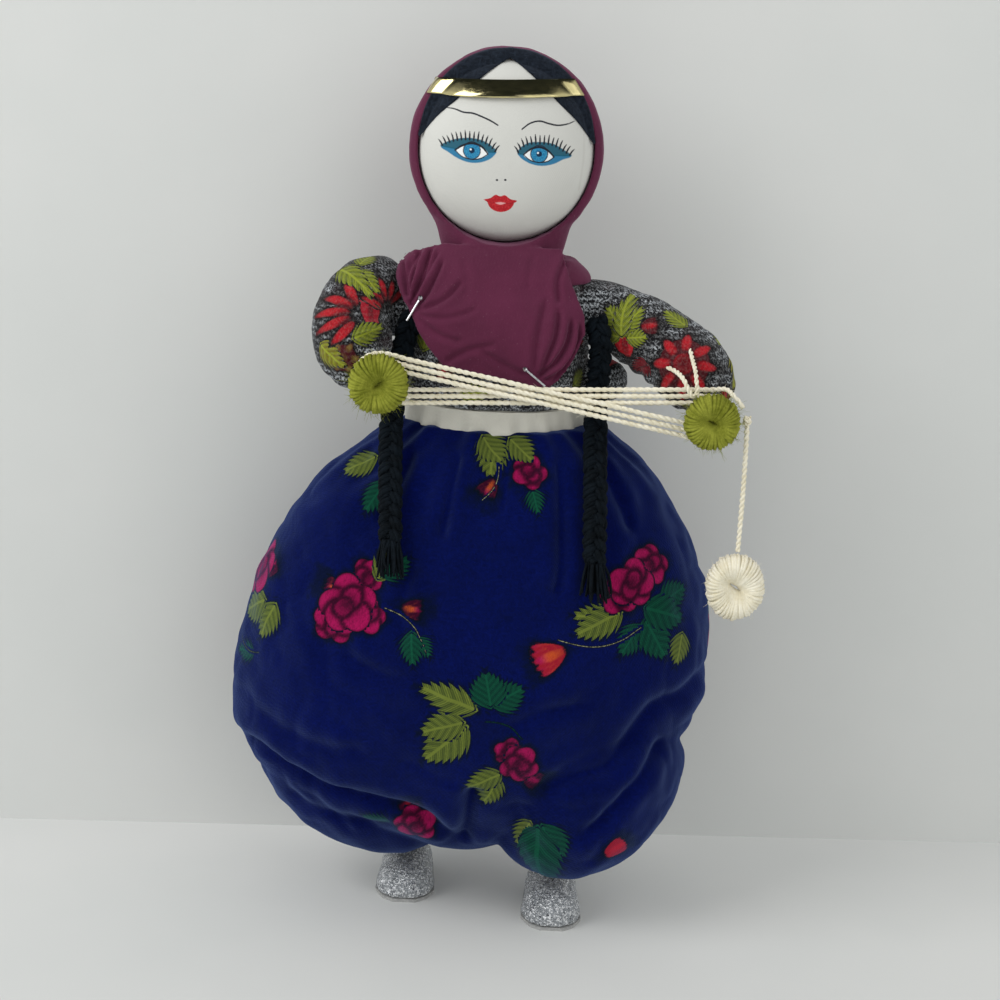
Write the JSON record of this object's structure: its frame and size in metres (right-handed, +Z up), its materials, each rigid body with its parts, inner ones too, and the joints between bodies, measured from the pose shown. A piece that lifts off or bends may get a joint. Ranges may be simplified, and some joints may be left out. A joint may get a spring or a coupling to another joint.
{
  "type": "rag doll",
  "caption": "Standing stuffed cloth doll in balloon trousers, blouse and headscarf, winding yarn in a figure of eight round its pompom hands.",
  "frame": {"origin": "on the floor under the middle of the doll, not counting the yarn that hangs from its right hand", "axes": "+Z up, -Y the way the face looks, +X towards the hand that the yarn hangs from"},
  "size_m": [0.2285, 0.1118, 0.3792],
  "materials": {
    "white_cotton": "plain white cotton, painted with the face",
    "plum_cotton": "soft plum velvety cotton, dull",
    "printed_jersey": "brushed jersey, black and grey flecked, with printed flowers",
    "blue_flannel": "brushed blue flannel printed with flowers, dull",
    "black_felt": "blue-black felt, dull",
    "black_yarn": "plaited black wool yarn",
    "lime_yarn": "lime green wool pompom",
    "cream_yarn": "cream two-ply wool yarn",
    "wadding": "stuffing in white cotton, hidden",
    "gold_foil": "gold foil ribbon, mirror bright",
    "pin_steel": "thin bright steel pin",
    "silver_glitter": "silver glitter cloth",
    "sole_card": "thin dark sole",
    "cream_thread": "gathering thread"
  },
  "bodies": {
    "torso": {"torso_core": "wadding", "blouse": "printed_jersey", "underskirt": "white_cotton", "waist_thread": "cream_thread", "scarf_bib": "plum_cotton", "scarf_pin_left": "pin_steel", "scarf_pin_lower": "pin_steel", "trousers": "blue_flannel", "leg_left": "wadding", "leg_right": "wadding", "cuff_thread_left": "cream_thread", "cuff_thread_right": "cream_thread", "shoe_left": "silver_glitter", "shoe_right": "silver_glitter", "sole_left": "sole_card", "sole_right": "sole_card", "braid_top_left": "black_yarn", "braid_top_right": "black_yarn"},
    "head": {"head_core": "wadding", "face_cloth": "white_cotton", "hair_left": "black_felt", "hair_right": "black_felt", "headband": "gold_foil", "scarf_hood": "plum_cotton"},
    "left_arm": {"sleeve_left": "printed_jersey", "hand_left": "lime_yarn"},
    "right_arm": {"sleeve_right": "printed_jersey", "hand_right": "lime_yarn", "yarn_winding": "cream_yarn", "yarn_tie": "cream_yarn"},
    "hitch": {"yarn_hitch": "cream_yarn"},
    "hanging_yarn": {"yarn_drop": "cream_yarn", "yarn_disc": "cream_yarn"},
    "left_braid": {"braid_left": "black_yarn", "braid_end_left": "black_yarn"},
    "right_braid": {"braid_right": "black_yarn", "braid_end_right": "black_yarn"}
  },
  "joints": [
    {"name": "head_nod", "type": "hinge", "parent": "torso", "child": "head", "pos_m": [0.00361, 0.01088, 0.298], "axis": [1, 0, 0], "range_deg": [-6, 6], "stiffness_Nm_per_rad": 0.1},
    {"name": "right_arm_raise", "type": "hinge", "parent": "torso", "child": "right_arm", "pos_m": [0.00361, 0.00888, 0.269], "axis": [-1, 0, 0], "range_deg": [0, 35]},
    {"name": "left_arm_raise", "type": "hinge", "parent": "torso", "child": "left_arm", "pos_m": [0.00361, 0.00888, 0.269], "axis": [-1, 0, 0], "range_deg": [0, 35]},
    {"name": "yarn_swing_out", "type": "hinge", "parent": "right_arm", "child": "hitch", "pos_m": [0.10676, -0.04747, 0.2365], "axis": [0, -1, 0], "range_deg": [0, 40]},
    {"name": "yarn_swing_forward", "type": "hinge", "parent": "hitch", "child": "hanging_yarn", "pos_m": [0.10676, -0.04747, 0.2365], "axis": [-1, 0, 0], "range_deg": [-35, 35]},
    {"name": "left_braid_swing", "type": "hinge", "parent": "torso", "child": "left_braid", "pos_m": [-0.03979, -0.01752, 0.221], "axis": [-1, 0, 0], "range_deg": [0, 40]},
    {"name": "right_braid_swing", "type": "hinge", "parent": "torso", "child": "right_braid", "pos_m": [0.04661, -0.01752, 0.221], "axis": [-1, 0, 0], "range_deg": [0, 40]}
  ],
  "couplings": [
    {"joint": "left_arm_raise", "follows": "right_arm_raise", "ratio": 1}
  ]
}
